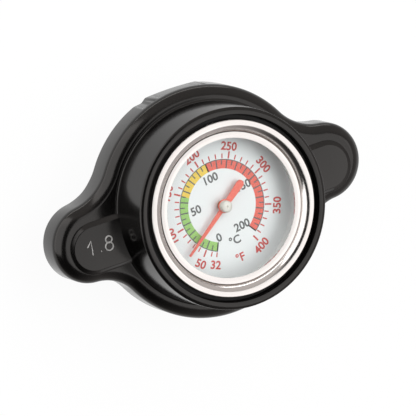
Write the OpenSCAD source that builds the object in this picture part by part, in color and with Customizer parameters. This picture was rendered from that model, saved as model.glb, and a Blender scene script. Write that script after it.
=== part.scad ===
// Radiator cap with a built-in bimetal temperature gauge.
// The origin is on the cap's axis at the underside of the pressure seal, the lowest
// point. Z points up out of the dial, and the two grip ears lie along X.

/* [Cap body] */
// Radius of the round skirt
body_r = 25.3; // [25:0.1:27]
// Width of the wide rounding round the top edge
edge_round = 1.8; // [1.4:0.1:2.2]
// Thickness of the floor between the gauge and the bayonet shell
floor_t = 3.1; // [3:0.1:4]
// Distance from the cap's axis to the centre of each ear's rounded end
ear_x = 28.65; // [28:0.05:30]
// Radius of each ear's rounded end
ear_r = 8.5; // [7.5:0.1:9]
// Radius of the hollow between ear and skirt
ear_fillet_r = 10; // [8:0.5:12]
// Height of each ear's raised pad
pad_h = 0.7; // [0.3:0.1:1.2]
// Half the width of each ear's raised pad
pad_half_w = 5.3; // [4:0.1:5.6]
// Sideways place of the pads
pad_y = -1; // [-1:0.1:1]
// Depth of the flat on each side of the skirt
flat_depth = 0.36; // [0.1:0.02:0.6]

/* [Gauge] */
// Outer radius of the bezel
bezel_r = 19.0; // [18.8:0.1:19.4]
// Radius of the bezel's window
window_r = 15.0; // [14.5:0.05:15.2]
// Height of the bezel's top over the housing floor
gauge_h = 10.2; // [10:0.1:10.6]
// Depth of the dial's face under the bezel's top
dial_depth = 6.0; // [5.9:0.1:6.2]
// Length of the sensor stem under the gauge
stem_len = 8.3; // [7.5:0.1:8.6]
// Radius of the sensor stem
stem_r = 2.4; // [2.2:0.05:2.45]

/* [Dial and pointer] */
// Direction of the 0 degree mark, anticlockwise from the right ear
zero_dir = 248.5; // [240:0.5:255]
// Turn of the pointer for one degree Celsius
turn_per_c = 1.5; // [1:0.05:1.6]
// Temperature shown at rest
rest_reading = 21; // [0:1:200]
// Reach of the pointer's tip
needle_len = 13.2; // [11:0.1:13.6]
// Reach of the pointer's tail
tail_len = 6.7; // [5:0.1:8]

/* [Neck fittings] */
// Distance from the pressure seal's underside to the neck gasket's underside
neck_depth = 15.4; // [15.4:0.1:16]
// Inner radius of the bayonet shell's skirt, round the neck's flange
shell_r = 21.6; // [21.4:0.1:21.8]
// Radius that the bayonet lugs reach in to
lug_r = 18.4; // [18.2:0.1:19]
// Gap between the neck gasket and the bayonet lugs
lug_gap = 2.0; // [1.8:0.1:2.2]
// Outer radius of the neck gasket
gasket_r = 17.8; // [17:0.1:18]
// Outer radius of the pressure seal
seal_r = 13.75; // [13:0.05:14]
// Travel of the pressure valve
lift_travel = 4; // [2:0.5:4]

/* [Springs] */
// Turns of the pressure spring
main_turns = 4.5; // [3:0.5:4.5]
// Wire radius of the pressure spring
main_wire_r = 0.9; // [0.6:0.05:0.95]
// Middle radius of the pressure spring
main_r = 9.8; // [9.6:0.1:10]
// Turns of the vacuum spring
small_turns = 3.5; // [2:0.5:3.5]
// Wire radius of the vacuum spring
small_wire_r = 0.25; // [0.2:0.01:0.27]
// Middle radius of the vacuum spring
small_r = 2.3; // [2:0.1:2.6]

/* [Hidden] */
$fn = 96;
// Overlap of a cut past the face that it opens
cut = 1;
// Gap between faces that touch lightly on pieces that turn or slide
play = 0.05;

// Heights of the neck fittings, from the gasket upwards
gasket_t = 0.8;
disc_t = 0.3;
washer_t = 0.25;
shell_t = 1.0;
disc_z = neck_depth + gasket_t;
washer_z = disc_z + disc_t;
shell_z = washer_z + washer_t + play;
floor_z = shell_z + shell_t;
gauge_z = floor_z + floor_t;
top_z = gauge_z + gauge_h;

// Heights of the body
shoulder_z = top_z - 11.7;
ear_bottom_z = top_z - 19.0;
body_bottom_z = top_z - 19.4;
housing_r = 21.8;
ring_bore_r = 20.1;
mouth_depth = 3.6;
foot_fillet = 0.8;
cavity_r = shell_r + 1.2;
bottom_round = 0.5;

// Sizes of the bayonet shell
shell_wall = 0.8;
shell_skirt_z = neck_depth - lug_gap - 1;
lug_t = 1.0;
lug_half_angle = 24;
screw_ring_r = 14.2;
screw_r = 1.25;
screw_head_r = 2.3;
screw_head_h = 1.1;
screw_len = 3.4;

// Sizes of the gauge's inside
case_r = bezel_r - 0.7;
case_wall = 0.8;
lip_z = top_z - 1.7;
lens_t = 1.4;
lens_r = case_r - case_wall - 0.1;
lens_z = lip_z - lens_t;
dial_z = top_z - dial_depth;
dial_t = 0.4;
spacer_in_r = 16.3;
lens_gasket_t = 0.6;
case_floor_z = gauge_z + case_wall;
stem_flange_t = 0.6;
stem_bore_r = 1.7;
stem_tip_z = gauge_z - stem_len;
o_ring_r = 0.75;
o_ring_pocket_r = stem_r + 2 * o_ring_r + 0.1;
coil_z = case_floor_z + 1.0;
coil_h = 1.2;
coil_t = 0.35;
coil_turns = 4;
coil_in_r = 1.5;
coil_out_r = 11;

// Sizes of the spindle and the pointer
spindle_r = 0.6;
bush_bore_r = spindle_r + 0.04;
pointer_z = dial_z + 1.2;
pointer_t = 0.25;
hub_r = 1.3;
hub_h = 1.3;
pointer_dir = zero_dir - turn_per_c * rest_reading;

// Sizes of the valves
rivet_bore_r = 2.75;
rivet_r = 3.58;
rivet_head_r = 5.0;
head_t = 0.6;
guide_t = 0.6;
guide_z = disc_z - guide_t;
guide_in_r = 6.2;
guide_out_r = 7.0;
guide_bottom_z = 8.2;
guide_lip_t = 0.8;
lip_r = 5.1;
seal_t = 2.4;
seal_web_t = 0.7;
plate_t = 0.8;
plate_r = 12;
plate_top_z = seal_t + plate_t;
sleeve_in_r = 4.3;
sleeve_out_r = lip_r - 0.06;
sleeve_flange_z = guide_bottom_z + guide_lip_t + 0.1;
sleeve_flange_r = guide_in_r - 0.3;
spring_step_h = 0.7;
pin_r = 1.0;
pin_top_z = 7.9;
clip_z = 7.1;
clip_t = 0.5;
vacuum_disc_r = 5.4;
vacuum_disc_t = 0.6;
web_hole_r = 3.9;

// Points of an arc, both ends included
function arc_points(cx, cy, r, a0, a1, n) =
    [for (i = [0:n]) let(a = a0 + (a1 - a0) * i / n) [cx + r * cos(a), cy + r * sin(a)]];

// Angle, seen from the cap's axis, of the hollow's centre between skirt and ear
hollow_dir = acos(
    (pow(body_r + ear_fillet_r, 2) + ear_x * ear_x - pow(ear_r + ear_fillet_r, 2))
    / (2 * (body_r + ear_fillet_r) * ear_x)
);
hollow_x = (body_r + ear_fillet_r) * cos(hollow_dir);
hollow_y = (body_r + ear_fillet_r) * sin(hollow_dir);

// Rounded end of an ear
module ear_end() {
    translate([ear_x, 0, 0])
        rotate_extrude()
            polygon(concat(
                [[0, ear_bottom_z]],
                arc_points(ear_r - bottom_round, ear_bottom_z + bottom_round, bottom_round, -90, 0, 4),
                arc_points(ear_r - edge_round, shoulder_z - edge_round, edge_round, 0, 90, 5),
                [[0, shoulder_z]]
            ));
}

// Web between skirt and ear, with the rounded hollow on each side
module ear_web() {
    // The hollows reach a little into skirt and ear, so that the faces meet at a clear angle
    hollow_r = ear_fillet_r + 0.04;
    difference() {
        translate([0, 0, ear_bottom_z])
            linear_extrude(height = shoulder_z - ear_bottom_z)
                polygon([[0, 0], [hollow_x, -hollow_y], [ear_x, 0], [hollow_x, hollow_y]]);
        for (side = [-1, 1])
            translate([hollow_x, side * hollow_y, 0])
                rotate_extrude()
                    polygon(concat(
                        [[0, ear_bottom_z - cut], [hollow_r + bottom_round, ear_bottom_z - cut]],
                        arc_points(
                            hollow_r + bottom_round, ear_bottom_z + bottom_round, bottom_round, 270, 180, 4
                        ),
                        arc_points(hollow_r + edge_round, shoulder_z - edge_round, edge_round, 180, 90, 5),
                        [[hollow_r + edge_round, shoulder_z + cut], [0, shoulder_z + cut]]
                    ));
    }
}

// Flat on the skirt over a bayonet lug, which ends in a small ledge under the shoulder
module skirt_flat() {
    flat_dir = 89.6;
    flat_top_z = shoulder_z - 2.5;
    flat_w = 14;
    rotate([0, 0, flat_dir])
        translate([body_r - flat_depth, -flat_w / 2, body_bottom_z - cut])
            cube([flat_depth + cut, flat_w, flat_top_z - body_bottom_z + cut]);
}

// Raised pad on an ear: a straight tongue with a half-round end
module ear_pad() {
    end_x = ear_x - 0.2;
    translate([0, 0, shoulder_z - 1])
        linear_extrude(height = pad_h + 1)
            union() {
                translate([housing_r - 1, pad_y - pad_half_w])
                    square([end_x - housing_r + 1, 2 * pad_half_w]);
                translate([end_x, pad_y]) circle(r = pad_half_w);
            }
}

// Ring with a rectangular section
module ring(r_in, r_out, z, h) {
    translate([0, 0, z])
        difference() {
            cylinder(r = r_out, h = h);
            translate([0, 0, -cut]) cylinder(r = r_in, h = h + 2 * cut);
        }
}

// Points of a helix, with 8 to a curl
function helix(r, z0, z1, turns) =
    [for (i = [0:8 * turns])
        let(a = 45 * i)
        [r * cos(a), r * sin(a), z0 + (z1 - z0) * i / (8 * turns)]];

// One unbroken six-sided tube along a helix
module spring(r, wire_r, z0, z1, turns) {
    path = helix(r, z0, z1, turns);
    last = len(path) - 1;
    points = [
        for (i = [0:last])
            for (k = [0:5])
                let(a = 45 * i, out = r + wire_r * cos(60 * k))
                [out * cos(a), out * sin(a), path[i].z + wire_r * sin(60 * k)]
    ];
    sides = [
        for (i = [0:last - 1])
            for (k = [0:5])
                let(a = 6 * i + k, b = 6 * i + (k + 1) % 6)
                each [[a, b, b + 6], [a, b + 6, a + 6]]
    ];
    start = [for (k = [1:4]) [0, k + 1, k]];
    end = [for (k = [1:4]) [6 * last, 6 * last + k, 6 * last + k + 1]];
    polyhedron(points, concat(start, sides, end), convexity = 10);
}

// Least gap between curls, measured between path points half a curl or more apart
function least_gap(path, wire_r) =
    min([
        for (i = [0:len(path) - 5])
            for (j = [i + 4:len(path) - 1])
                norm(path[i] - path[j])
    ]) - 2 * wire_r;

main_low = plate_top_z + main_wire_r + play;
main_high = disc_z - main_wire_r - play;
small_low = plate_top_z + small_wire_r + play;
small_high = clip_z - small_wire_r - play;
echo(pressure_spring_gap = least_gap(helix(main_r, main_low, main_high, main_turns), main_wire_r));
echo(vacuum_spring_gap = least_gap(helix(small_r, small_low, small_high, small_turns), small_wire_r));
// The vacuum valve's pin has to clear the stem's tip when the pressure valve is fully up
echo(stem_clearance = stem_tip_z - pin_top_z - lift_travel);
assert(stem_tip_z > pin_top_z + lift_travel, "the stem is too long for the valve's travel");

// Casting: dial housing, shoulder, two grip ears and skirt
module cap_body() {
    color("#1d1d1f")
        difference() {
            union() {
                body_round();
                for (turn = [0, 180])
                    rotate([0, 0, turn]) {
                        ear_end();
                        ear_web();
                    }
                for (side = [0, 1])
                    mirror([side, 0, 0]) ear_pad();
            }
            for (turn = [0, 180])
                rotate([0, 0, turn]) skirt_flat();
            // Seat of the gauge, wider at the mouth for the rubber ring
            translate([0, 0, gauge_z]) cylinder(r = bezel_r + 0.1, h = gauge_h + cut);
            translate([0, 0, top_z - mouth_depth]) cylinder(r = ring_bore_r, h = mouth_depth + cut);
            // Space for the bayonet shell
            translate([0, 0, body_bottom_z - cut]) cylinder(r = cavity_r, h = floor_z - body_bottom_z + cut);
            // Recess for the rivet's head, the stem's hole and the O-ring's pocket
            translate([0, 0, floor_z - cut]) cylinder(r = rivet_head_r + 0.4, h = 0.9 + cut);
            translate([0, 0, floor_z]) cylinder(r = stem_r + 0.2, h = floor_t);
            translate([0, 0, gauge_z - 2 * o_ring_r]) cylinder(r = o_ring_pocket_r, h = 2 * o_ring_r + cut);
            for (k = [0:2])
                rotate([0, 0, 120 * k + 30])
                    translate([screw_ring_r, 0, 0])
                        screw_hole(0);
        }
}

// Turned parts of the casting: housing wall with its foot, shoulder and skirt
module body_round() {
    mouth_round = 0.8;
    rotate_extrude()
        polygon(concat(
            [[0, floor_z - 0.5], [cavity_r - 1, floor_z - 0.5], [cavity_r - 1, body_bottom_z]],
            arc_points(body_r - bottom_round, body_bottom_z + bottom_round, bottom_round, -90, 0, 4),
            arc_points(body_r - edge_round, shoulder_z - edge_round, edge_round, 0, 90, 5),
            arc_points(housing_r + foot_fillet, shoulder_z + foot_fillet, foot_fillet, 270, 180, 6),
            arc_points(housing_r - mouth_round, top_z - mouth_round, mouth_round, 0, 90, 4),
            [[0, top_z]]
        ));
}

// Countersunk hole or screw body, pointing up from the shell's underside
module screw_hole(shrink) {
    translate([0, 0, shell_z - cut]) cylinder(r = screw_head_r - shrink, h = cut);
    translate([0, 0, shell_z]) cylinder(r1 = screw_head_r - shrink, r2 = screw_r, h = screw_head_h);
    translate([0, 0, shell_z]) cylinder(r = screw_r, h = screw_len + 0.2);
}

// Pressed steel shell that grips the filler neck
module bayonet_shell() {
    color("silver")
        difference() {
            union() {
                translate([0, 0, shell_z]) cylinder(r = shell_r + shell_wall, h = shell_t);
                ring(shell_r, shell_r + shell_wall, shell_skirt_z, shell_z - shell_skirt_z + 0.1);
                for (side = [90, 270])
                    rotate([0, 0, side - lug_half_angle])
                        rotate_extrude(angle = 2 * lug_half_angle)
                            translate([lug_r, shell_skirt_z])
                                square([shell_r - lug_r + 0.1, lug_t]);
            }
            translate([0, 0, shell_z - cut]) cylinder(r = rivet_r + 0.07, h = shell_t + 2 * cut);
            for (k = [0:2])
                rotate([0, 0, 120 * k + 30])
                    translate([screw_ring_r, 0, 0])
                        screw_hole(0);
        }
}

// Three countersunk screws that hold the shell under the casting
module shell_screws() {
    socket_r = 0.9;
    color("gainsboro")
        for (k = [0:2])
            rotate([0, 0, 120 * k + 30])
                translate([screw_ring_r, 0, shell_z])
                    difference() {
                        union() {
                            cylinder(r1 = screw_head_r - 0.02, r2 = screw_r - 0.02, h = screw_head_h);
                            cylinder(r = screw_r - 0.02, h = screw_len);
                        }
                        translate([0, 0, -cut]) cylinder(r = socket_r, h = cut + 0.7, $fn = 6);
                    }
}

// Cup that holds the gauge's works
module gauge_case() {
    color("silver")
        difference() {
            translate([0, 0, gauge_z]) cylinder(r = case_r, h = lip_z - gauge_z);
            translate([0, 0, case_floor_z]) cylinder(r = case_r - case_wall, h = gauge_h);
            translate([0, 0, gauge_z - cut]) cylinder(r = stem_r + 0.01, h = 3 * cut);
        }
}

// Bright bezel: low inner rim, crease, a roll up to the flat outer lip and a wall over the case
module bezel_ring() {
    rim_w = 1.3;
    rim_h = 0.55;
    crease_w = 0.1;
    sheet_t = 0.25;
    lip_w = 1.0;
    roll_steps = 6;
    rim_out_r = window_r + rim_w;
    crease_r = rim_out_r + crease_w;
    crease_z = lip_z + sheet_t;
    lip_in_r = bezel_r - lip_w;
    wall_z = gauge_z + 2;
    roll = [
        for (i = [0 : roll_steps])
            let (t = 90 * i / roll_steps)
                [lip_in_r - (lip_in_r - crease_r) * cos(t), crease_z + (top_z - crease_z) * sin(t)]
    ];
    color("whitesmoke")
        rotate_extrude()
            polygon(concat(
                [[window_r, lip_z], [window_r, lip_z + rim_h], [rim_out_r, lip_z + rim_h]],
                roll,
                [[bezel_r, top_z], [bezel_r, wall_z], [case_r + 0.05, wall_z], [case_r + 0.05, lip_z]]
            ));
}

// Black rubber ring pressed between bezel and casting
module gauge_seal_ring() {
    ring_h = 2;
    color("#101010")
        ring(bezel_r + 0.01, ring_bore_r - 0.01, top_z - mouth_depth, ring_h);
}

// Flat glass
module lens() {
    color("lightcyan", 0.3)
        translate([0, 0, lens_z]) cylinder(r = lens_r, h = lens_t);
}

// Rubber under the glass
module lens_gasket() {
    color("#202020")
        ring(spacer_in_r, lens_r, lens_z - lens_gasket_t, lens_gasket_t);
}

// Ring that holds the glass off the dial
module lens_spacer() {
    color("lightgray")
        ring(spacer_in_r, lens_r, dial_z, lens_z - lens_gasket_t - dial_z);
}

// Printed dial
module dial_plate() {
    color("white")
        ring(1.12, lens_r - 0.05, dial_z - dial_t, dial_t);
}

// Ring that carries the dial
module dial_spacer() {
    color("gray")
        ring(spacer_in_r - 0.3, lens_r, case_floor_z, dial_z - dial_t - case_floor_z);
}

// Closed tube that carries the heat up from the coolant
module sensor_stem() {
    tip_t = 1.2;
    color("goldenrod")
        difference() {
            union() {
                translate([0, 0, stem_tip_z + 0.5]) cylinder(r = stem_r, h = case_floor_z - stem_tip_z - 0.5);
                translate([0, 0, stem_tip_z]) cylinder(r1 = stem_r - 0.5, r2 = stem_r, h = 0.5);
                translate([0, 0, case_floor_z]) cylinder(r = stem_r + 1.8, h = stem_flange_t);
            }
            translate([0, 0, stem_tip_z + tip_t]) cylinder(r = stem_bore_r, h = gauge_h + stem_len);
        }
}

// Rubber ring round the stem
module stem_o_ring() {
    color("#202020")
        translate([0, 0, gauge_z - o_ring_r])
            rotate_extrude()
                translate([stem_r + 0.05 + o_ring_r, 0])
                    circle(r = o_ring_r - 0.01, $fn = 32);
}

// Bush in the middle of the dial
module upper_bush() {
    color("goldenrod")
        difference() {
            union() {
                translate([0, 0, dial_z - dial_t - 0.6]) cylinder(r = 2, h = 0.6);
                translate([0, 0, dial_z - dial_t]) cylinder(r = 1.1, h = dial_t + 0.15);
            }
            translate([0, 0, dial_z - 2]) cylinder(r = bush_bore_r, h = 3);
        }
}

// Bush in the top of the stem
module lower_bush() {
    color("goldenrod")
        ring(bush_bore_r, stem_bore_r - 0.01, gauge_z, 1.5);
}

// Flat spiral strip of two metals: heat turns its inner end
module bimetal_coil() {
    steps = 24 * coil_turns;
    grow = (coil_out_r - coil_in_r) / steps;
    inner = [for (i = [0:steps]) let(r = coil_in_r + grow * i) r * [cos(15 * i), sin(15 * i)]];
    outer = [
        for (i = [steps:-1:0])
            let(r = coil_in_r + coil_t + grow * i)
            r * [cos(15 * i), sin(15 * i)]
    ];
    color("peru")
        translate([0, 0, coil_z])
            linear_extrude(height = coil_h)
                polygon(concat(inner, outer));
}

// Post on the case floor that holds the strip's outer end
module coil_anchor() {
    post_r = 0.9;
    color("silver")
        translate([coil_out_r + coil_t + post_r + 0.01, 0, case_floor_z])
            cylinder(r = post_r, h = coil_z + coil_h + 0.2 - case_floor_z, $fn = 48);
}

// Steel spindle with the collar that takes the strip's inner end
module spindle() {
    color("lightsteelblue") {
        translate([0, 0, gauge_z - 0.5])
            cylinder(r = spindle_r, h = pointer_z + pointer_t + 1.2 - gauge_z, $fn = 48);
        translate([0, 0, coil_z]) cylinder(r = coil_in_r - 0.3, h = coil_h - 0.2, $fn = 48);
    }
}

// Red pointer: a tapered needle, a disc and a wide round-ended tail
module pointer() {
    disc_r = 1.5;
    root_w = 0.42;
    tip_w = 0.12;
    tail_w = 0.78;
    color("salmon")
        translate([0, 0, pointer_z])
            rotate([0, 0, pointer_dir])
                difference() {
                    linear_extrude(height = pointer_t)
                        union() {
                            polygon([[0, -root_w], [needle_len - tip_w, -tip_w], [needle_len, 0],
                                     [needle_len - tip_w, tip_w], [0, root_w]]);
                            circle(r = disc_r, $fn = 48);
                            polygon([[0, -root_w], [0, root_w], [tail_w - tail_len, tail_w],
                                     [tail_w - tail_len, -tail_w]]);
                            translate([tail_w - tail_len, 0]) circle(r = tail_w, $fn = 32);
                        }
                    translate([0, 0, -cut]) cylinder(r = spindle_r + 0.01, h = 3 * cut, $fn = 48);
                }
}

// Domed button that presses the pointer onto the spindle
module pointer_hub() {
    dome_r = (hub_r * hub_r + pow(hub_h - 0.5, 2)) / (2 * (hub_h - 0.5));
    color("whitesmoke")
        translate([0, 0, pointer_z + pointer_t])
            difference() {
                intersection() {
                    cylinder(r = hub_r, h = hub_h, $fn = 48);
                    translate([0, 0, hub_h - dome_r]) sphere(r = dome_r);
                }
                translate([0, 0, -cut]) cylinder(r = spindle_r + 0.01, h = cut + 0.71, $fn = 48);
            }
}

// Hollow rivet that lets the valve turn in the shell
module centre_rivet() {
    top = floor_z + play;
    bottom = guide_z - head_t;
    color("gold")
        difference() {
            union() {
                translate([0, 0, top]) cylinder(r = rivet_head_r, h = head_t);
                translate([0, 0, bottom]) cylinder(r = rivet_r, h = top - bottom + 0.1);
                translate([0, 0, bottom]) cylinder(r = rivet_head_r, h = head_t);
            }
            translate([0, 0, bottom - cut]) cylinder(r = rivet_bore_r, h = top - bottom + head_t + 2 * cut);
        }
}

// Spring washer between shell and seal disc
module spring_washer() {
    color("silver")
        ring(rivet_r + 0.01, 9, washer_z, washer_t);
}

// Springy steel disc that presses the gasket onto the neck
module seal_disc() {
    color("silver")
        ring(rivet_r + 0.01, gasket_r - 0.2, disc_z, disc_t);
}

// Rubber gasket that seats on the filler neck's rim
module neck_gasket() {
    color("#262626")
        ring(13.4, gasket_r, neck_depth, gasket_t);
}

// Guide tube with an inward lip that holds the valve's sleeve
module valve_guide() {
    window_hole_r = 1.5;
    window_z = guide_bottom_z + 4.2;
    color("gold")
        difference() {
            union() {
                ring(rivet_r + 0.01, main_r - main_wire_r - 0.3, guide_z, guide_t);
                ring(guide_in_r, guide_out_r, guide_bottom_z, guide_z - guide_bottom_z + 0.1);
                ring(lip_r, guide_out_r, guide_bottom_z, guide_lip_t);
            }
            for (k = [0:3])
                rotate([0, 0, 90 * k + 45])
                    translate([guide_in_r - cut, 0, window_z])
                        rotate([0, 90, 0])
                            cylinder(r = window_hole_r, h = 4, $fn = 32);
        }
}

// Spring that holds the pressure valve shut
module pressure_spring() {
    color("silver")
        spring(main_r, main_wire_r, main_low, main_high, main_turns);
}

// Pressure valve plate with its sliding sleeve
module pressure_plate() {
    color("gold")
        difference() {
            union() {
                translate([0, 0, seal_t]) cylinder(r = plate_r, h = plate_t);
                translate([0, 0, plate_top_z - 0.1])
                    cylinder(r = main_r - main_wire_r - 0.4, h = spring_step_h + 0.1);
                translate([0, 0, seal_t]) cylinder(r = sleeve_out_r, h = sleeve_flange_z - seal_t + 0.1);
                translate([0, 0, sleeve_flange_z]) cylinder(r = sleeve_flange_r, h = head_t);
            }
            translate([0, 0, plate_top_z]) cylinder(r = sleeve_in_r, h = 10);
            translate([0, 0, seal_t - cut]) cylinder(r = pin_r + 0.06, h = 3 * cut);
            for (k = [0:3])
                rotate([0, 0, 90 * k])
                    translate([2.7, 0, seal_t - cut])
                        cylinder(r = 0.7, h = 3 * cut, $fn = 24);
        }
}

// Rubber seal of the pressure valve, thinner in the middle for the vacuum valve
module pressure_seal() {
    bead_in_r = 9.5;
    color("#262626")
        rotate_extrude()
            polygon([
                [web_hole_r, seal_t - seal_web_t], [bead_in_r, seal_t - seal_web_t], [bead_in_r + 0.5, 0],
                [seal_r, 0], [seal_r, seal_t - 0.4], [seal_r - 0.4, seal_t], [web_hole_r, seal_t]
            ]);
}

// Vacuum valve: a disc under the seal on a pin through the plate
module vacuum_valve() {
    disc_top = seal_t - seal_web_t - play;
    color("gold") {
        translate([0, 0, disc_top - vacuum_disc_t]) cylinder(r = vacuum_disc_r, h = vacuum_disc_t);
        translate([0, 0, disc_top - 0.1]) cylinder(r = pin_r, h = pin_top_z - disc_top + 0.1, $fn = 48);
    }
}

// Light spring that holds the vacuum valve shut
module vacuum_spring() {
    color("silver")
        spring(small_r, small_wire_r, small_low, small_high, small_turns);
}

// Washer fixed on the vacuum valve's pin over its spring
module vacuum_clip() {
    color("silver")
        ring(pin_r + 0.01, 3.2, clip_z, clip_t);
}

cap_body();
bayonet_shell();
shell_screws();
gauge_case();
bezel_ring();
gauge_seal_ring();
lens();
lens_gasket();
lens_spacer();
dial_plate();
dial_spacer();
sensor_stem();
stem_o_ring();
upper_bush();
lower_bush();
bimetal_coil();
coil_anchor();
spindle();
pointer();
pointer_hub();
centre_rivet();
spring_washer();
seal_disc();
neck_gasket();
valve_guide();
pressure_spring();
pressure_plate();
pressure_seal();
vacuum_valve();
vacuum_spring();
vacuum_clip();
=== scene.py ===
import math

import bmesh
import bpy
from mathutils import Matrix, Vector


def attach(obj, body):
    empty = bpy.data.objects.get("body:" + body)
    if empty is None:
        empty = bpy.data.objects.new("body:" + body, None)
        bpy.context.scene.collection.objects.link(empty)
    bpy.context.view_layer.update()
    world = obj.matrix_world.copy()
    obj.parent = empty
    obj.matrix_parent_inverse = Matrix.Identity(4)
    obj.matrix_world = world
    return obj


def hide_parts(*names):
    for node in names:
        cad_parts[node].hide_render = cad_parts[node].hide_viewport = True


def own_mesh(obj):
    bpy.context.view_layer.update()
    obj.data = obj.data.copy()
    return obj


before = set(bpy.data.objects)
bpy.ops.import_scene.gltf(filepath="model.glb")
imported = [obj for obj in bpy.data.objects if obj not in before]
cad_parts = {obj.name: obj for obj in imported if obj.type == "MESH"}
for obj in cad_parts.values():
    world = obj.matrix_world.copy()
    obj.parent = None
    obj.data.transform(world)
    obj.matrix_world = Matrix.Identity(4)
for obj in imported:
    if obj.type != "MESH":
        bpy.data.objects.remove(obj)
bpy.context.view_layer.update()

# Camera
# A long lens looks down on the dial from its upper left, as in the photograph, with the cap's
# top to the upper right. Every size below is in millimetres and is brought to metres by MM.
MM = 0.001
VIEW_RIGHT = Vector((0.87666, -0.23541, 0.41959))
VIEW_UP = Vector((0.30885, 0.94406, -0.11562))
VIEW_BACK = Vector((-0.36890, 0.23095, 0.90032))
VIEW_PLACE = Vector((-427.94, 266.34, 1061.49)) * MM

lens = bpy.data.cameras.new("camera")
lens.sensor_width = 36
lens.lens = 467.7
lens.clip_start = 0.05
lens.clip_end = 20
camera = bpy.data.objects.new("camera", lens)
camera.matrix_world = Matrix((
    (VIEW_RIGHT.x, VIEW_UP.x, VIEW_BACK.x, VIEW_PLACE.x),
    (VIEW_RIGHT.y, VIEW_UP.y, VIEW_BACK.y, VIEW_PLACE.y),
    (VIEW_RIGHT.z, VIEW_UP.z, VIEW_BACK.z, VIEW_PLACE.z),
    (0, 0, 0, 1),
))
bpy.context.scene.collection.objects.link(camera)
bpy.context.scene.camera = camera
bpy.context.scene.view_settings.view_transform = "Standard"


# Studio floor
# A white sweep under the cap. It shows as white to the camera and in reflections, and a small
# share of it is plain matt paint, which takes the cap's soft shadow.
class Signal:
    """A shader socket that can stand in Python sums; node() adds any other node to its tree."""

    def __init__(self, tree, socket=None):
        self.tree = tree
        self.socket = socket

    def node(self, kind, settings=None, inputs=None, output=0):
        made = self.tree.nodes.new(kind)
        for name, value in (settings or {}).items():
            if name == "stops":
                ramp = made.color_ramp.elements
                while len(ramp) < len(value):
                    ramp.new(0.5)
                for element, (place, colour) in zip(ramp, value):
                    element.position = place
                    element.color = (*colour, 1)
            else:
                setattr(made, name, value)
        for name, value in (inputs or {}).items():
            if isinstance(value, Signal):
                self.tree.links.new(value.socket, made.inputs[name])
            else:
                made.inputs[name].default_value = value
        return Signal(self.tree, made.outputs[output]) if made.outputs else None

    def maths(self, operation, first, second=0.0):
        return self.node("ShaderNodeMath", {"operation": operation}, {0: first, 1: second})

    def __add__(self, other):
        return self.maths("ADD", self, other)

    def __mul__(self, other):
        return self.maths("MULTIPLY", self, other)


def material(name, paint):
    """A material whose surface is the shader that paint(start) returns."""
    made = bpy.data.materials.new(name)
    made.use_nodes = True
    made.node_tree.nodes.clear()
    start = Signal(made.node_tree)
    start.node("ShaderNodeOutputMaterial", {}, {"Surface": paint(start)})
    return made


def piece(name, mesh, surface):
    """A new object at the origin with one material."""
    mesh.materials.clear()
    mesh.materials.append(surface)
    made = bpy.data.objects.new(name, mesh)
    bpy.context.scene.collection.objects.link(made)
    return made


def ray_is(start, *kinds):
    """1 where the ray is of one of these kinds."""
    start.node("ShaderNodeLightPath")
    outputs = start.tree.nodes[-1].outputs
    found = Signal(start.tree, outputs[kinds[0]])
    for kind in kinds[1:]:
        found = found.maths("MAXIMUM", found, Signal(start.tree, outputs[kind]))
    return found


WHITE_SHARE = 0.94


def floor_paint(start):
    seen = ray_is(start, "Is Camera Ray", "Is Glossy Ray", "Is Transmission Ray")
    matt = start.node("ShaderNodeBsdfDiffuse", {}, {"Color": (0.8, 0.8, 0.8, 1)})
    bright = start.node("ShaderNodeEmission", {}, {"Color": (1, 1, 1, 1), "Strength": 1.0})
    return start.node("ShaderNodeMixShader", {}, {0: seen * WHITE_SHARE, 1: matt, 2: bright})


FLOOR_HALF, FLOOR_DROP = 3000, 0.04
FLOOR_CORNERS = [(-1, -1), (1, -1), (1, 1), (-1, 1)]
floor_mesh = bpy.data.meshes.new("studio_floor")
floor_mesh.from_pydata(
    [(FLOOR_HALF * MM * x, FLOOR_HALF * MM * y, -FLOOR_DROP * MM) for x, y in FLOOR_CORNERS],
    [], [(0, 1, 2, 3)])
floor = piece("studio_floor", floor_mesh, material("studio_white", floor_paint))

# Studio lights
# A softbox stands where flat tops mirror it to the camera, one lights the left side, a low strip
# lights the back, and an unmirrored one lifts the dial. The room's walls are the greys between.
CAP_CENTRE = Vector((0, 0, 20)) * MM


def softbox(name, direction, distance, width, height, power):
    """A lamp that faces the cap from a direction, in metres and watts."""
    data = bpy.data.lights.new(name, "AREA")
    data.shape = "RECTANGLE"
    data.size = width
    data.size_y = height
    data.energy = power
    made = bpy.data.objects.new(name, data)
    aim = Vector(direction).normalized()
    made.location = CAP_CENTRE + aim * distance
    made.rotation_euler = aim.to_track_quat("Z", "Y").to_euler()
    bpy.context.scene.collection.objects.link(made)
    return made


softbox("key_softbox", (0.37, -0.23, 0.90), distance=0.9, width=1.0, height=1.0, power=3.75)
softbox("side_softbox", (-0.757, 0.47, 0.454), distance=0.9, width=1.4, height=1.17, power=8.5)
softbox("back_strip", (0.30, 1.0, 0.12), distance=0.9, width=1.2, height=0.14, power=1.6)
fill = softbox("fill_softbox", (0.35, 0.45, 1.0), distance=1.2, width=1.1, height=1.1, power=10.8)
fill.visible_glossy = False

room = bpy.data.worlds.new("studio_room")
room.use_nodes = True
room.node_tree.nodes.clear()
sky = Signal(room.node_tree)
facing = sky.node("ShaderNodeTexCoord", {}, {}, "Generated")
upward = sky.node("ShaderNodeSeparateXYZ", {}, {"Vector": facing}, "Z")
room_tone = sky.node("ShaderNodeValToRGB", {"stops": [
    (0.0, (0.80, 0.76, 0.74)),
    (0.10, (0.62, 0.59, 0.57)),
    (0.26, (0.14, 0.13, 0.13)),
    (0.50, (0.035, 0.034, 0.033)),
    (1.0, (0.02, 0.02, 0.02)),
]}, {"Fac": upward}, "Color")


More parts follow.
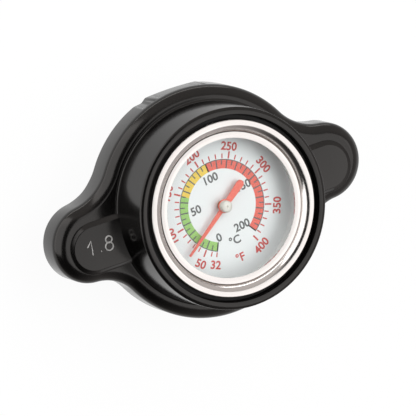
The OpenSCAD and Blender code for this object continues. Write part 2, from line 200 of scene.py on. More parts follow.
def lighter_wall(tone, direction, low, high, colour):
    """The room's tone with a lighter wall round one direction."""
    towards = sky.node("ShaderNodeVectorMath", {"operation": "DOT_PRODUCT"}, {
        0: facing, 1: direction}, "Value")
    share = sky.node("ShaderNodeMapRange", {"interpolation_type": "SMOOTHSTEP"}, {
        "Value": towards, "From Min": low, "From Max": high})
    return sky.node("ShaderNodeMix", {"data_type": "RGBA"}, {0: share, 6: tone, 7: (*colour, 1)}, 2)


# The right wall, then the back wall
room_tone = lighter_wall(room_tone, (0.86, -0.50, 0), 0.1, 0.95, (0.52, 0.49, 0.48))
room_tone = lighter_wall(room_tone, (0.45, 0.89, 0), 0.30, 0.65, (0.62, 0.59, 0.57))
dim = sky.node("ShaderNodeBackground", {}, {"Color": room_tone, "Strength": 1.0})
white = sky.node("ShaderNodeBackground", {}, {"Color": (1, 1, 1, 1), "Strength": 1.0})
sky.node("ShaderNodeOutputWorld", {}, {
    "Surface": sky.node("ShaderNodeMixShader", {}, {0: ray_is(sky, "Is Camera Ray"), 1: dim, 2: white})})
bpy.context.scene.world = room


# Casting
# The zinc casting carries the gauge in its tall housing and has a shoulder with two grip ears.
# It is die-cast in one piece and dipped in satin black enamel, with a fine orange-peel skin.
def on_piece(start):
    """A point's place in the piece's own coordinates."""
    return start.node("ShaderNodeTexCoord", {}, {}, "Object")


def noise(place, scale, detail):
    """Noise round 0.5 at a place."""
    return place.node("ShaderNodeTexNoise", {}, {"Vector": place, "Scale": scale, "Detail": detail}, "Fac")


def between(share, first, last):
    """A colour between two, by a share of 0 to 1."""
    return share.node("ShaderNodeMix", {"data_type": "RGBA"}, {0: share, 6: (*first, 1), 7: (*last, 1)}, 2)


def bumped(height, strength, distance):
    """A normal for a skin with this height, where the distance is in millimetres."""
    return height.node("ShaderNodeBump", {}, {
        "Height": height, "Strength": strength, "Distance": distance * MM})


def enamel_paint(start):
    place = on_piece(start)
    peel = noise(place, 1400.0, 2.0)
    cloud = noise(place, 160.0, 4.0)
    tone = between(cloud, (0.0012, 0.0011, 0.0011), (0.0026, 0.0024, 0.0023))
    skin = bumped(peel, 0.10, 0.04)
    return start.node("ShaderNodeBsdfPrincipled", {}, {
        "Base Color": tone, "Roughness": cloud * 0.06 + 0.14, "IOR": 1.50,
        "Specular Tint": (1.0, 0.96, 0.93, 1), "Normal": skin})


black_enamel = material("black_enamel", enamel_paint)

BODY_R, EAR_FAR, EAR_DIR, EAR_R = 25.3, 28.65, -0.4, 8.5
UPPER_HOLLOW_R, LOWER_HOLLOW_R = 12.0, 9.5
SHOULDER_Z, HOUSING_TOP = 19.4, 31.1
HOUSING_R, HOUSING_FOOT_R, LOW_ROUND = 21.75, 21.95, 0.5
SKIRT_Z, EAR_Z = 11.7, 12.1
CAVITY_R, SHELL_TOP_Z, CAVITY_ROUND = 22.8, 17.8, 0.2
SEAT_R, SEAT_Z = 19.1, 20.9
MOUTH_R, RING_SEAT_Z, MOUTH_ROUND, MOUTH_ROUND_MID = 20.1, 27.5, 0.25, 0.07
STEM_BORE_R, O_RING_R, O_RING_Z = 2.6, 4.0, 19.4
RIVET_SPACE_R, RIVET_SPACE_Z = 5.4, 18.7


def arc(centre_x, centre_y, radius, first, last, count):
    """Points of an arc in degrees, both ends included."""
    turn = [math.radians(first + (last - first) * i / count) for i in range(count + 1)]
    return [(centre_x + radius * math.cos(a), centre_y + radius * math.sin(a)) for a in turn]


def hollow(radius):
    """Radius and centre of the arc between skirt and ear, and its two end directions in degrees."""
    far = BODY_R + radius
    turn = math.acos((far ** 2 + EAR_FAR ** 2 - (EAR_R + radius) ** 2) / (2 * far * EAR_FAR))
    x, y = far * math.cos(turn), far * math.sin(turn)
    return radius, x, y, math.degrees(turn), math.degrees(math.atan2(y, x - EAR_FAR))


UPPER, LOWER = hollow(UPPER_HOLLOW_R), hollow(LOWER_HOLLOW_R)
BODY_TURN, EAR_TURN = 3, 4
EAR_STEPS, HOLLOW_STEPS, BODY_STEPS = 52, 18, 180


def outline(inset):
    """The casting's plan, moved inwards, with the same number of points for any inset."""
    bends = [arc(x, y, radius + inset, 180 + body_turn, 180 + ear_turn, HOLLOW_STEPS)
             for radius, x, y, body_turn, ear_turn in (UPPER, LOWER)]
    ear = [(x, -y) for x, y in bends[1]]
    ear += arc(EAR_FAR, 0, EAR_R - inset, -LOWER[EAR_TURN], UPPER[EAR_TURN], EAR_STEPS)[1:]
    ear += bends[0][-2::-1]
    spin = Matrix.Rotation(math.radians(EAR_DIR), 2)
    ear = [tuple(spin @ Vector(p)) for p in ear]
    upper_end, lower_end = UPPER[BODY_TURN] + EAR_DIR, LOWER[BODY_TURN] - EAR_DIR
    top = arc(0, 0, BODY_R - inset, upper_end, 180 - upper_end, BODY_STEPS)[1:-1]
    low = arc(0, 0, BODY_R - inset, 180 + lower_end, 360 - lower_end, BODY_STEPS)[1:-1]
    return ear + top + [(-x, y) for x, y in reversed(ear)] + low


plan = outline(0)
plan_turn = [math.atan2(y, x) for x, y in plan]


def circle_ring(radius, z):
    return [(radius * math.cos(a), radius * math.sin(a), z) for a in plan_turn]


def blend(low, high, value):
    """0 below low and 1 above high, with a smooth rise."""
    t = min(1, max(0, (value - low) / (high - low)))
    return t * t * (3 - 2 * t)


# The ears end a little above the skirt
RISE_FROM, RISE_TO = BODY_R + 0.2, BODY_R + 2.2
under_z = [SKIRT_Z + (EAR_Z - SKIRT_Z) * blend(RISE_FROM, RISE_TO, math.hypot(x, y)) for x, y in plan]

# Over each bayonet lug the skirt has a flat facet, which stands proud at one end and stops in a step
FACET_TOP, FACET_STEP = 16.95, 0.2
FACET_MIDDLE, FACET_CURVE, FACET_DEPTH = 89.6, 0.0025, 0.36
FACET_KNOTS = [(74, 0), (76, 0.10), (103.5, 0.12), (106.5, -0.42), (111, 0)]
SKIRT_FAR = BODY_R + 0.3


def facet(x, y):
    """How far the facet moves a point of the skirt in or out."""
    angle = math.degrees(math.atan2(y, x)) % 180
    if FACET_KNOTS[1][0] < angle < FACET_KNOTS[2][0]:
        return FACET_CURVE * (angle - FACET_MIDDLE) ** 2 - FACET_DEPTH
    for (first, low), (last, high) in zip(FACET_KNOTS, FACET_KNOTS[1:]):
        if first <= angle <= last:
            return low + (high - low) * (angle - first) / (last - first)
    return 0


def faceted(points):
    """Points of the skirt, moved by the facets."""
    moved = []
    for x, y, z in points:
        r = math.hypot(x, y)
        grow = 1 + facet(x, y) / r if r < SKIRT_FAR else 1
        moved.append((x * grow, y * grow, z))
    return moved


def side_ring(inset, lift):
    """A ring of the outline near the underside."""
    return faceted([(x, y, z + lift) for (x, y), z in zip(outline(inset), under_z)])


def turned_edge(inset, stretches):
    """Places along an edge that turns from a flat into a side: each stretch goes from one slope in
    degrees to another over a length."""
    places = [(inset, 0.0)]
    steps = 4
    for first, last, length in stretches:
        for i in range(steps):
            slope = math.radians(first + (last - first) * (i + 0.5) / steps)
            inset, drop = places[-1]
            places.append((inset - math.cos(slope) * length / steps, drop + math.sin(slope) * length / steps))
    return places


MOUTH_IN, MOUTH_BEND = 0.80, [(0, 14, 0.06), (14, 32, 0.68), (32, 88, 0.22)]
FOOT_OUT, FOOT_BEND = 0.49, [(0, 12, 0.05), (12, 35, 0.45), (35, 88, 0.06)]
rings = []
for radius, z in (
        (STEM_BORE_R, O_RING_Z), (O_RING_R, O_RING_Z), (O_RING_R, SEAT_Z), (SEAT_R, SEAT_Z),
        (SEAT_R, RING_SEAT_Z), (MOUTH_R, RING_SEAT_Z), (MOUTH_R, HOUSING_TOP - MOUTH_ROUND),
        (MOUTH_R + MOUTH_ROUND_MID, HOUSING_TOP - MOUTH_ROUND_MID), (MOUTH_R + MOUTH_ROUND, HOUSING_TOP)):
    rings.append(circle_ring(radius, z))
for inset, drop in turned_edge(MOUTH_IN, MOUTH_BEND):
    rings.append(circle_ring(HOUSING_R - inset, HOUSING_TOP - drop))
for inset, rise in reversed(turned_edge(FOOT_OUT, FOOT_BEND)):
    rings.append(circle_ring(HOUSING_FOOT_R + inset, SHOULDER_Z + rise))

# A broad bend runs round the shoulder, slow at first, before it turns into its side
EDGE_IN, EDGE_BEND = 2.46, [(0, 12, 0.08), (12, 30, 1.15), (30, 40, 1.0), (40, 88, 1.15)]
for inset, drop in turned_edge(EDGE_IN, EDGE_BEND):
    rings.append([(x, y, SHOULDER_Z - drop) for x, y in outline(inset)])
rings.append([(x, y, FACET_TOP) for x, y in outline(inset)])
rings.append(faceted([(x, y, FACET_TOP - FACET_STEP) for x, y in outline(inset)]))
for inset, lift in arc(LOW_ROUND, LOW_ROUND, LOW_ROUND, 180, 270, 6):
    rings.append(side_ring(inset, lift))
skirt_edge = [min(BODY_R, math.hypot(x, y)) for x, y in outline(LOW_ROUND)]
rings.append([(r * math.cos(a), r * math.sin(a), z) for r, a, z in zip(skirt_edge, plan_turn, under_z)])
skirt_edge = [min(BODY_R - LOW_ROUND, r) for r in skirt_edge]
rings.append([(r * math.cos(a), r * math.sin(a), SKIRT_Z) for r, a in zip(skirt_edge, plan_turn)])
for radius, z in (
        (CAVITY_R + CAVITY_ROUND, SKIRT_Z), (CAVITY_R, SKIRT_Z + CAVITY_ROUND), (CAVITY_R, SHELL_TOP_Z),
        (RIVET_SPACE_R, SHELL_TOP_Z), (RIVET_SPACE_R, RIVET_SPACE_Z), (STEM_BORE_R, RIVET_SPACE_Z)):
    rings.append(circle_ring(radius, z))


SAME_PLACE = 0.0005


def closed_mesh(name, shells, smooth_angle=35):
    """One mesh of closed shells, each given as (points, faces) in millimetres."""
    work = bmesh.new()
    for points, faces in shells:
        made = [work.verts.new(Vector(p) * MM) for p in points]
        for face in faces:
            work.faces.new([made[i] for i in face])
    bmesh.ops.remove_doubles(work, verts=work.verts, dist=SAME_PLACE * MM)
    bmesh.ops.dissolve_degenerate(work, edges=work.edges, dist=SAME_PLACE * MM)
    bmesh.ops.recalc_face_normals(work, faces=work.faces)
    mesh = bpy.data.meshes.new(name)
    work.to_mesh(mesh)
    work.free()
    mesh.shade_smooth()
    mesh.set_sharp_from_angle(angle=math.radians(smooth_angle))
    return mesh


def loop_shell(rows):
    """A shell that closes on itself both along the rows and from the last row to the first."""
    columns = len(rows[0])
    points = [p for row in rows for p in row]
    faces = []
    for i in range(len(rows)):
        below = ((i + 1) % len(rows)) * columns
        for k in range(columns):
            other = (k + 1) % columns
            faces.append((i * columns + k, i * columns + other, below + other, below + k))
    return points, faces


def capped_shell(rows):
    """A shell of rows that is closed by a face at each end."""
    columns = len(rows[0])
    points, faces = loop_shell(rows)
    faces = faces[:-columns]
    faces.append(tuple(range(columns)))
    faces.append(tuple(range(len(points) - 1, len(points) - 1 - columns, -1)))
    return points, faces


# The raised tongue on each ear is part of the same casting. Its sides slope, its top falls outwards,
# and its root lies in the shoulder and the housing. A row is an inset and a share of the height.
PAD_HALF, PAD_X, PAD_Y, PAD_TOP_Z, PAD_FALL, PAD_ROOT = 5.75, 28.45, -1.05, 20.4, 0.050, 1
PAD_ROWS = [(0.0, 0.0), (0.15, 0.06), (0.35, 0.24), (0.90, 0.88), (1.0, 0.97), (1.12, 1.0)]


def pad_z(x):
    return PAD_TOP_Z - (abs(x) - HOUSING_FOOT_R) * PAD_FALL


def pad_plan(inset, side):
    """The tongue's outline on one side of the cap, moved inwards."""
    half = PAD_HALF - inset
    points = arc(PAD_X, PAD_Y, half, -90, 90, 48)
    points += [(HOUSING_FOOT_R - PAD_ROOT, PAD_Y + half), (HOUSING_FOOT_R - PAD_ROOT, PAD_Y - half)]
    return [(side * x, y) for x, y in points]


def pad_shell(side):
    rows = [[(x, y, SHOULDER_Z - PAD_ROOT) for x, y in pad_plan(0, side)]]
    for inset, share in PAD_ROWS:
        rows.append([(x, y, SHOULDER_Z + share * (pad_z(x) - SHOULDER_Z)) for x, y in pad_plan(inset, side)])
    return capped_shell(rows)


def fitted(made, body, node=None):
    """Fixes a piece to its body and hides the CAD node that it stands for."""
    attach(made, body)
    if node:
        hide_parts(node)
    return made


casting_shells = [loop_shell(rings), pad_shell(-1), pad_shell(1)]
casting = piece("casting", closed_mesh("casting", casting_shells), black_enamel)
fitted(casting, "cap", "cap_body")


# Pressure figure
# The opening pressure in bar is scribed into the left tongue after painting. The bare metal
# shows as thin light-grey lines, each a round stroke sunk to half of its thickness.
def scribed_paint(start):
    grain = noise(on_piece(start), 3000.0, 2.0)
    tone = between(grain, (0.26, 0.255, 0.25), (0.50, 0.49, 0.48))
    return start.node("ShaderNodeBsdfPrincipled", {}, {
        "Base Color": tone, "Roughness": grain * 0.2 + 0.4, "Metallic": 0.3})


STROKE_R, STROKE_LIFT = 0.16, 0.02
figure_strokes = [
    ([(-30.15, -0.30), (-29.15, 0.82), (-29.37, -2.19)], False),
    ([(-27.46, -1.98), (-27.30, -1.98)], False),
    (arc(-25.12, -0.02, 0.72, 0, 345, 23), True),
    (arc(-25.36, -1.50, 0.88, 0, 345, 23), True),
]
figure_curve = bpy.data.curves.new("pressure_figure", "CURVE")
figure_curve.dimensions = "3D"
figure_curve.bevel_depth = STROKE_R * MM
figure_curve.bevel_resolution = 2
figure_curve.use_fill_caps = True
for stroke, is_ring in figure_strokes:
    line = figure_curve.splines.new("POLY")
    line.points.add(len(stroke) - 1)
    for point, (x, y) in zip(line.points, stroke):
        point.co = (x * MM, y * MM, (pad_z(x) + STROKE_LIFT) * MM, 1)
    line.use_cyclic_u = is_ring


def baked(source):
    """The evaluated shape of an object as a plain mesh, after which the object is gone."""
    if not source.users_collection:
        bpy.context.scene.collection.objects.link(source)
    ready = source.evaluated_get(bpy.context.evaluated_depsgraph_get())
    mesh = bpy.data.meshes.new_from_object(ready)
    bpy.data.objects.remove(source)
    return mesh


figure_mesh = baked(bpy.data.objects.new("figure_strokes", figure_curve))
figure_mesh.shade_smooth()
fitted(piece("pressure_figure", figure_mesh, material("scribed_metal", scribed_paint)), "cap")


# Bayonet shell
# A cup pressed from stainless sheet, screwed under the casting. Its two lugs turn in under the
# filler neck's flange and pull the cap down.
def rounded(corners):
    """A closed section from (r, z, rounding) corners."""
    points = []
    steps = 6
    count = len(corners)
    for i, (r, z, radius) in enumerate(corners):
        here = Vector((r, z))
        if radius <= 0:
            points.append((r, z))
            continue
        before = (Vector(corners[i - 1][:2]) - here).normalized()
        after = (Vector(corners[(i + 1) % count][:2]) - here).normalized()
        half = before.angle(after) / 2
        reach = radius / math.tan(half)
        start, end = here + before * reach, here + after * reach
        centre = here + (before + after).normalized() * (radius / math.sin(half))
        first = start - centre
        last = end - centre
        for k in range(steps + 1):
            points.append(tuple(centre + first.lerp(last, k / steps).normalized() * radius))
    return points


def revolved(corners, columns=192):
    """A ring of revolution from a closed section that stays clear of the axis."""
    section = rounded(corners)
    rows = []
    for k in range(columns):
        a = 2 * math.pi * k / columns
        rows.append([(r * math.cos(a), r * math.sin(a), z) for r, z in section])
    return loop_shell(rows)


def turned_piece(name, shells, surface, body, node, smooth_angle=35):
    fitted(piece(name, closed_mesh(name, shells, smooth_angle), surface), body, node)


def metal_paint(colour, dark, roughness, metallic=1.0, grain_scale=900.0):
    """Bare metal with fine marks of the tool and a slight change of tone."""
    def paint(start):
        place = on_piece(start)
        marks = noise(place, grain_scale, 3.0)
        cloud = noise(place, 120.0, 3.0)
        spread = 0.12
        return start.node("ShaderNodeBsdfPrincipled", {}, {
            "Base Color": between(cloud, dark, colour), "Metallic": metallic,
            "Roughness": marks * spread + (roughness - spread / 2), "Normal": bumped(marks, 0.05, 0.03)})
    return paint


def dress(node, surface):
    """A CAD node that keeps its shape and takes a finish."""
    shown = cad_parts[node]
    shown.data.materials.clear()
    shown.data.materials.append(surface)


stainless = material("stainless_sheet", metal_paint((0.66, 0.65, 0.63), (0.52, 0.51, 0.50), 0.30))
SHELL_IN, SHELL_OUT, SHELL_LOW, SHELL_PLATE, SHELL_BORE = 21.6, 22.4, 12.4, 16.8, 3.65
LUG_IN, LUG_T, LUG_HALF, LUG_ROOT = 18.4, 1.0, 24, 0.2
LUG_CORNER, LUG_CORNER_SHARE, LUG_HALF_STEPS = 1.2, 0.12, 16
shell_section = [
    (SHELL_BORE, SHELL_TOP_Z, 0.1), (SHELL_BORE, SHELL_PLATE, 0.1), (SHELL_IN, SHELL_PLATE, 0.5),
    (SHELL_IN, SHELL_LOW, 0.15), (SHELL_OUT, SHELL_LOW, 0.3), (SHELL_OUT, SHELL_TOP_Z, 0.9)]
lug_section = rounded([
    (LUG_IN, SHELL_LOW, 0.25), (SHELL_OUT - LUG_ROOT, SHELL_LOW, 0.1),
    (SHELL_OUT - LUG_ROOT, SHELL_LOW + LUG_T, 0.1), (LUG_IN, SHELL_LOW + LUG_T, 0.25)])


def lug_shell(middle):
    """A lug that spans an arc, with its inner corners cut round."""
    rows = []
    for k in range(-LUG_HALF_STEPS, LUG_HALF_STEPS + 1):
        a = math.radians(middle + LUG_HALF * k / LUG_HALF_STEPS)
        from_end = 1 - abs(k) / LUG_HALF_STEPS
        cut = LUG_CORNER * (1 - min(1, from_end / LUG_CORNER_SHARE)) ** 2
        row = [(max(r, min(r + cut, SHELL_IN + LUG_ROOT)), z) for r, z in lug_section]
        rows.append([(r * math.cos(a), r * math.sin(a), z) for r, z in row])
    return capped_shell(rows)


turned_piece("bayonet_cup", [revolved(shell_section), lug_shell(90), lug_shell(270)], stainless,
             "cap", "bayonet_shell")
dress("shell_screws", material("screw_zinc", metal_paint((0.62, 0.62, 0.60), (0.50, 0.50, 0.49), 0.35)))


# Gauge case and rubber ring
# A deep-drawn steel cup holds the works. The bezel is crimped over it, and a black rubber ring
# fills the gap to the housing's mouth.
def rubber_paint(start):
    place = on_piece(start)
    grain = noise(place, 2200.0, 3.0)
    cloud = noise(place, 200.0, 3.0)
    tone = between(cloud, (0.006, 0.006, 0.006), (0.014, 0.013, 0.013))
    skin = bumped(grain, 0.25, 0.04)
    return start.node("ShaderNodeBsdfPrincipled", {}, {
        "Base Color": tone, "Roughness": cloud * 0.15 + 0.55, "IOR": 1.35, "Normal": skin})


black_rubber = material("black_rubber", rubber_paint)
dress("gauge_case", stainless)
BEZEL_R, BEZEL_TOP, RING_TOP, RING_PLAY = 19.0, 31.05, 29.5, 0.01
ring_section = [
    (BEZEL_R + RING_PLAY, RING_SEAT_Z, 0.05), (MOUTH_R - RING_PLAY, RING_SEAT_Z, 0.05),
    (MOUTH_R - RING_PLAY, RING_TOP, 0.3), (BEZEL_R + RING_PLAY, RING_TOP, 0.2)]
turned_piece("mouth_ring", [revolved(ring_section)], black_rubber, "cap", "gauge_seal_ring")


# Bezel
# Spun from thin stainless steel and polished. From outside in it has a flat lip that rolls down
# to a crease, and a broad low rim at the glass.
def from_axis(place):
    """A place's distance from the dial's axis."""
    flat = place.node("ShaderNodeVectorMath", {"operation": "MULTIPLY"}, {0: place, 1: (1, 1, 0)})
    return place.node("ShaderNodeVectorMath", {"operation": "LENGTH"}, {0: flat}, "Value")


def lathe_rings(radius, scale, detail):
    """Noise that changes with the radius only."""
    return noise(radius.node("ShaderNodeCombineXYZ", {}, {"X": radius}), scale, detail)


def bezel_paint(start):
    place = on_piece(start)
    cloud = noise(place, 90.0, 4.0)
    tone = between(cloud, (0.67, 0.63, 0.61), (0.75, 0.72, 0.70))
    turned = lathe_rings(from_axis(place), 9000.0, 2.0)
    skin = bumped(turned, 0.06, 0.02)
    return start.node("ShaderNodeBsdfPrincipled", {}, {
        "Base Color": tone, "Metallic": 1.0, "Roughness": turned * 0.06 + 0.12, "Normal": skin})


WINDOW_R, RIM_R, RIM_Z, LIP_Z = 15.0, 16.34, 29.93, 29.4
CROWN_R, CROWN_Z = 15.7, 29.97
BEZEL_WALL_R, BEZEL_LOW = 18.35, 22.9
ROLL_R, ROLL_IN, ROLL_BEND = 18.05, 1.71, [(0, 14, 0.06), (14, 36, 0.95), (36, 60, 0.72), (60, 68, 0.70)]
bezel_section = [(BEZEL_WALL_R, BEZEL_LOW, 0.08), (BEZEL_R, BEZEL_LOW, 0.2), (BEZEL_R, BEZEL_TOP, 0.18)]
for inset, drop in turned_edge(ROLL_IN, ROLL_BEND):
    bezel_section.append((ROLL_R - ROLL_IN + inset, BEZEL_TOP - drop, 0))
bezel_section += [(RIM_R, RIM_Z - 0.01, 0.05), (CROWN_R, CROWN_Z, 1.0), (WINDOW_R, RIM_Z, 0.05),
                  (WINDOW_R, LIP_Z, 0.05), (BEZEL_WALL_R, LIP_Z, 0.05)]
turned_piece("bezel", [revolved(bezel_section, 256)], material("polished_bezel", bezel_paint),
             "cap", "bezel_ring", 50)


# Glass and its packing
# A flat disc of clear glass lies on a thin rubber ring, and a turned aluminium ring holds both
# off the dial.
def glass_paint(start):
    clear = start.node("ShaderNodeBsdfTransparent", {}, {"Color": (0.97, 0.98, 0.98, 1)})
    gloss = start.node("ShaderNodeBsdfGlossy", {}, {"Color": (1, 1, 1, 1), "Roughness": 0.03})
    share = start.node("ShaderNodeFresnel", {}, {"IOR": 1.25})
    film = noise(on_piece(start), 60.0, 2.0)
    return start.node("ShaderNodeMixShader", {}, {0: share * (film * 0.3 + 0.5), 1: clear, 2: gloss})


dress("lens", material("clear_glass", glass_paint))
dress("lens_gasket", black_rubber)
aluminium = material("turned_aluminium", metal_paint((0.90, 0.90, 0.89), (0.82, 0.82, 0.81), 0.40, 0.5))
for node in ("lens_spacer", "dial_spacer"):
    dress(node, aluminium)


# Dial
# A thin aluminium disc with a satin silver-white lacquer. It mirrors softly, so the pointer
# shows as a soft shade beside it, and it has faint lathe rings towards its edge.
DIAL_TOP = 25.1


def dial_paint(start):
    place = on_piece(start)
    radius = from_axis(place)
    lathe = lathe_rings(radius, 2600.0, 3.0)
    outer = start.node("ShaderNodeMapRange", {"interpolation_type": "SMOOTHSTEP"}, {
        "Value": radius, "From Min": 0.0085, "From Max": 0.0150})
    grain = noise(place, 5000.0, 2.0)
    rings_share = lathe * outer
    tone = between(rings_share, (0.80, 0.81, 0.81), (0.70, 0.71, 0.71))
    skin = bumped(rings_share + grain * 0.4, 0.10, 0.03)
    return start.node("ShaderNodeBsdfPrincipled", {}, {
        "Base Color": tone, "Metallic": 0.20, "Roughness": grain * 0.10 + 0.36, "Normal": skin})


dress("dial_plate", material("satin_dial", dial_paint))


# Dial printing
# Screen-printed inks: a band in green, yellow and red with grey rules for degrees Celsius, and
# red rules outside it for Fahrenheit. Each print is a very thin raised layer.
INK_LOW, INK_HIGH = DIAL_TOP - 0.004, DIAL_TOP + 0.012
ZERO_DIR, TURN_PER_C = 248.5, 1.5


def celsius(value):
    """Direction on the dial of a temperature."""
    return ZERO_DIR - TURN_PER_C * value


def fahrenheit(value):
    return celsius((value - 32) / 1.8)


def ink(name, colour, deep):
    def paint(start):
        grain = noise(on_piece(start), 2500.0, 3.0)
        return start.node("ShaderNodeBsdfPrincipled", {}, {
            "Base Color": between(grain, deep, colour), "Roughness": grain * 0.15 + 0.40, "IOR": 1.35})
    return material(name, paint)


grey_ink = ink("grey_ink", (0.16, 0.16, 0.16), (0.12, 0.12, 0.12))
red_ink = ink("red_ink", (0.62, 0.10, 0.09), (0.52, 0.08, 0.07))
green_band = ink("green_band", (0.36, 0.60, 0.19), (0.30, 0.53, 0.15))
yellow_band = ink("yellow_band", (0.86, 0.62, 0.12), (0.78, 0.55, 0.09))
red_band = ink("red_band", (0.82, 0.18, 0.14), (0.74, 0.15, 0.115))


def sector(first, last, inner, outer, low=INK_LOW, high=INK_HIGH):
    """A closed thin slice of a ring between two directions in degrees."""
    steps = max(2, int(abs(last - first) / 2))
    rows = []
    for x_in, x_out in zip(arc(0, 0, inner, first, last, steps), arc(0, 0, outer, first, last, steps)):
        rows.append([(*x_in, low), (*x_out, low), (*x_out, high), (*x_in, high)])
    return capped_shell(rows)


BAND_IN, BAND_OUT = 7.95, 9.85


def printed_band(name, band, surface):
    fitted(piece(name, closed_mesh(name, [band], 20), surface), "cap")


printed_band("print_green", sector(celsius(0), celsius(65), BAND_IN, BAND_OUT), green_band)
printed_band("print_yellow", sector(celsius(65), celsius(100), BAND_IN, BAND_OUT), yellow_band)
printed_band("print_red", sector(celsius(100), celsius(200), BAND_IN, BAND_OUT), red_band)


def grower(name, inputs):
    """A node tree with named inputs: its first signal, the inputs' signals and their identifiers."""
    tree = bpy.data.node_groups.new(name, "GeometryNodeTree")
    sockets = {}
    for label, kind, value in inputs:
        made = tree.interface.new_socket(label, in_out="INPUT", socket_type="NodeSocket" + kind)
        if value is not None:
            made.default_value = value
        sockets[label] = made.identifier
    tree.interface.new_socket("Geometry", in_out="OUTPUT", socket_type="NodeSocketGeometry")
    flow = Signal(tree)
    flow.node("NodeGroupInput")
    given = {label: Signal(tree, tree.nodes[-1].outputs[label]) for label in sockets}
    return flow, given, sockets


# One node tree lays any run of rules round the dial
flow, given, rule_sockets = grower("dial_rules", [
    ("Count", "Int", 1), ("First Direction", "Float", 0.0), ("Step", "Float", 0.0),
    ("Inner Radius", "Float", 0.0), ("Length", "Float", 0.001), ("Width", "Float", 0.0002),
    ("Height", "Float", 0.00002), ("Level", "Float", 0.0), ("Ink", "Material", None)])
rules = flow.tree
bar_size = flow.node("ShaderNodeCombineXYZ", {}, {
    "X": given["Length"], "Y": given["Width"], "Z": given["Height"]})
bar = flow.node("GeometryNodeMeshCube", {}, {"Size": bar_size})
bar_place = flow.node("ShaderNodeCombineXYZ", {}, {
    "X": given["Inner Radius"] + given["Length"] * 0.5, "Z": given["Level"]})
bar = flow.node("GeometryNodeTransform", {}, {"Geometry": bar, "Translation": bar_place})
spots = flow.node("GeometryNodePoints", {}, {"Count": given["Count"]})
index = flow.node("GeometryNodeInputIndex")
turn_by = flow.node("ShaderNodeCombineXYZ", {}, {"Z": index * given["Step"] + given["First Direction"]})
laid = flow.node("GeometryNodeInstanceOnPoints", {}, {"Points": spots, "Instance": bar, "Rotation": turn_by})
laid = flow.node("GeometryNodeRealizeInstances", {}, {"Geometry": laid})
laid = flow.node("GeometryNodeSetMaterial", {}, {"Geometry": laid, "Material": given["Ink"]})
flow.node("NodeGroupOutput", {}, {"Geometry": laid})


def grown(name, tree, sockets, values):
    """The plain mesh that a node tree makes with these inputs."""
    seed = bpy.data.objects.new(name, bpy.data.meshes.new(name))
    bpy.context.scene.collection.objects.link(seed)
    maker = seed.modifiers.new("maker", "NODES")
    maker.node_group = tree
    for label, value in values.items():
        maker[sockets[label]] = value
    return baked(seed)


def joined(name, meshes, surface):
    """Several meshes as one piece."""
    work = bmesh.new()
    for mesh in meshes:
        work.from_mesh(mesh)
        bpy.data.meshes.remove(mesh)
    for face in work.faces:
        face.material_index = 0
    mesh = bpy.data.meshes.new(name)
    work.to_mesh(mesh)
    work.free()
    return piece(name, mesh, surface)


RULE_T, RULE_MIDDLE = INK_HIGH - INK_LOW, (INK_LOW + INK_HIGH) / 2 + 0.006


def rule_run(paint, count, first, step, inner, length, width):
    """Rules of one kind, from a first direction on with a step in degrees."""
    return grown("rules", rules, rule_sockets, {
        "Count": count, "First Direction": math.radians(first), "Step": math.radians(step),
        "Inner Radius": inner * MM, "Length": length * MM, "Width": width * MM,
        "Height": RULE_T * MM, "Level": RULE_MIDDLE * MM, "Ink": paint})


def printed(name, meshes, surface):
    fitted(joined(name, meshes, surface), "cap")


BAND_W, END_REACH = BAND_OUT - BAND_IN, 0.1
SHORT_SHARE, LONG_GREY_W, SHORT_GREY_W, END_GREY_W = 0.58, 0.28, 0.26, 0.24
printed("print_celsius_rules", [
    rule_run(grey_ink, 21, celsius(0), -15, BAND_IN, BAND_W, LONG_GREY_W),
    rule_run(grey_ink, 20, celsius(5), -15, BAND_OUT - SHORT_SHARE * BAND_W, SHORT_SHARE * BAND_W,
             SHORT_GREY_W),
    rule_run(grey_ink, 1, celsius(0), 0, BAND_IN, BAND_W + END_REACH, END_GREY_W),
    rule_run(grey_ink, 1, celsius(100), 0, BAND_IN, BAND_W + END_REACH, END_GREY_W),
    rule_run(grey_ink, 1, celsius(200), 0, BAND_IN - END_REACH, BAND_W + 2 * END_REACH, END_GREY_W),
], grey_ink)
EDGE_IN_R, EDGE_OUT_R, EDGE_HIGH = BAND_OUT - 0.06, BAND_OUT + 0.12, INK_HIGH + 0.008
printed_band("print_band_edge", sector(
    celsius(-0.5), celsius(200.5), EDGE_IN_R, EDGE_OUT_R, INK_LOW, EDGE_HIGH), grey_ink)

FAHRENHEIT_IN, LONG_RULE, SHORT_RULE, LONG_W, SHORT_W = 10.10, 1.55, 1.05, 0.36, 0.27
ten_degrees = TURN_PER_C * 10 / 1.8
red_runs = [rule_run(red_ink, 8, fahrenheit(50), -5 * ten_degrees, FAHRENHEIT_IN, LONG_RULE, LONG_W)]
for count, first in [(1, 32), (1, 40)] + [(4, 60 + 50 * fifty) for fifty in range(7)]:
    red_runs.append(rule_run(
        red_ink, count, fahrenheit(first), -ten_degrees, FAHRENHEIT_IN, SHORT_RULE, SHORT_W))
printed("print_fahrenheit_rules", red_runs, red_ink)


LETTER_SIZE = 2.5


